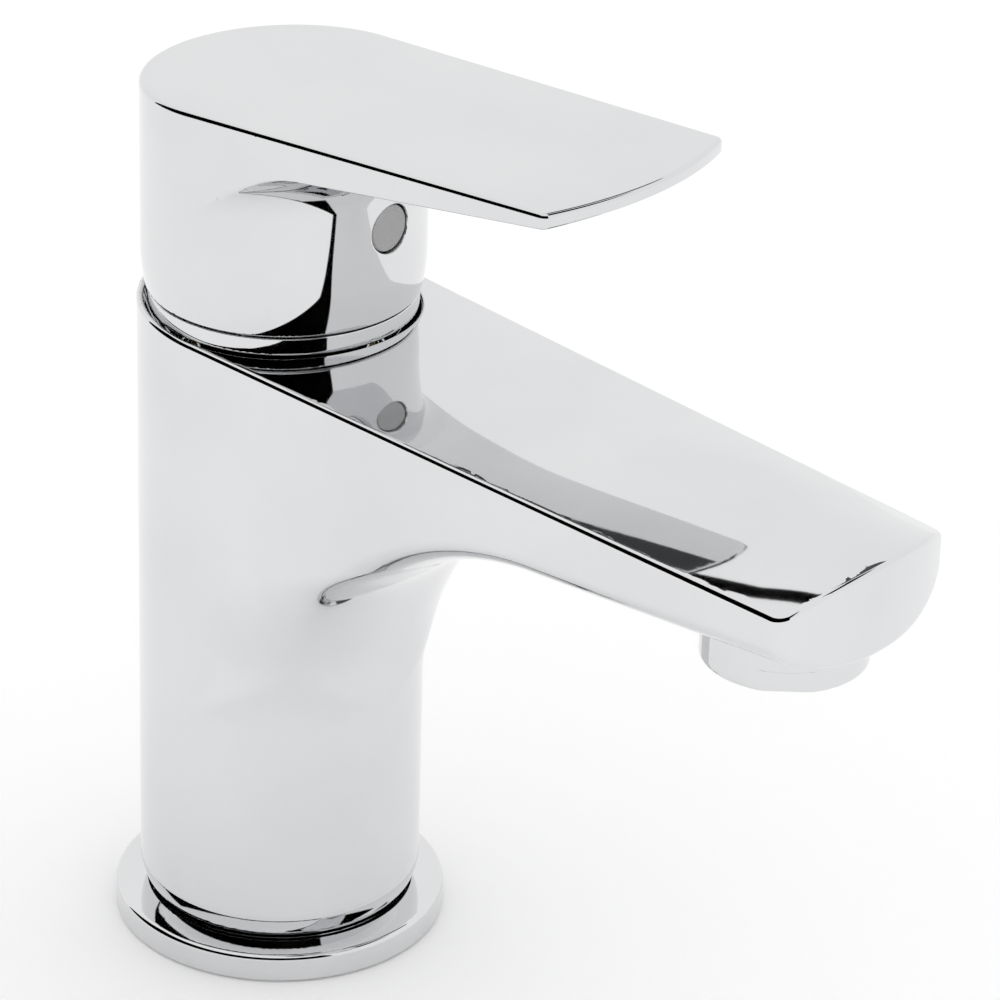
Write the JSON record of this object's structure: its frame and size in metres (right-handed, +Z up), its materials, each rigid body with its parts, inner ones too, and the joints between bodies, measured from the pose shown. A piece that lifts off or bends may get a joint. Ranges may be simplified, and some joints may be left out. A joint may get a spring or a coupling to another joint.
{
  "type": "basin mixer tap",
  "caption": "Single-lever deck-mounted basin mixer: round column, long flat spout with aerator, plate lever on a round skirt, ceramic cartridge inside.",
  "frame": {"origin": "centre of the base's underside, on the deck", "axes": "+Z up along the column; the spout and the lever point along -Y; +X is to the right of someone standing at the basin, facing the tap"},
  "size_m": [0.054, 0.1458, 0.1508],
  "materials": {
    "chrome_plate": "polished chrome plate on brass and zinc castings, clear mirror gloss",
    "black_rubber": "moulded black rubber",
    "white_plastic": "moulded white engineering plastic",
    "ceramic": "lapped white alumina ceramic, stands in as gloss plastic",
    "brass": "turned brass, unplated",
    "grey_plastic": "satin light grey plastic",
    "blue_plastic": "glass-filled plastic, dark blue",
    "steel": "stainless steel, turned"
  },
  "bodies": {
    "root": {"body_casting": "chrome_plate", "base_gasket": "black_rubber", "base_ring": "chrome_plate", "base_o_ring": "black_rubber", "cartridge_base": "white_plastic", "hot_inlet_seal": "black_rubber", "cold_inlet_seal": "black_rubber", "outlet_seal": "black_rubber", "cartridge_housing": "white_plastic", "fixed_ceramic_disc": "ceramic", "cartridge_nut": "brass", "cartridge_shroud": "chrome_plate", "aerator_housing": "chrome_plate", "aerator_screen": "grey_plastic", "aerator_insert": "white_plastic", "aerator_washer": "black_rubber"},
    "carrier": {"stem_carrier": "blue_plastic", "stem_pin": "steel"},
    "mixing_disc": {"moving_ceramic_disc": "ceramic", "disc_slider": "blue_plastic"},
    "handle": {"handle_lever": "chrome_plate", "handle_bushing": "white_plastic", "control_stem": "brass", "handle_grub_screw": "steel", "handle_plug": "grey_plastic", "handle_trim_ring": "chrome_plate"}
  },
  "joints": [
    {"name": "handle_turn", "type": "hinge", "parent": "root", "child": "carrier", "pos_m": [0, 0, 0.1172], "axis": [0, 0, 1], "range_deg": [-45, 45]},
    {"name": "handle_lift", "type": "hinge", "parent": "carrier", "child": "handle", "pos_m": [0, 0, 0.1172], "axis": [-1, 0, 0], "range_deg": [0, 24]},
    {"name": "disc_slide", "type": "slide", "parent": "carrier", "child": "mixing_disc", "axis": [0, -1, 0], "range_m": [0, 0.0031]}
  ],
  "couplings": [
    {"joint": "disc_slide", "follows": "handle_lift", "m_per_rad": 0.0073}
  ]
}
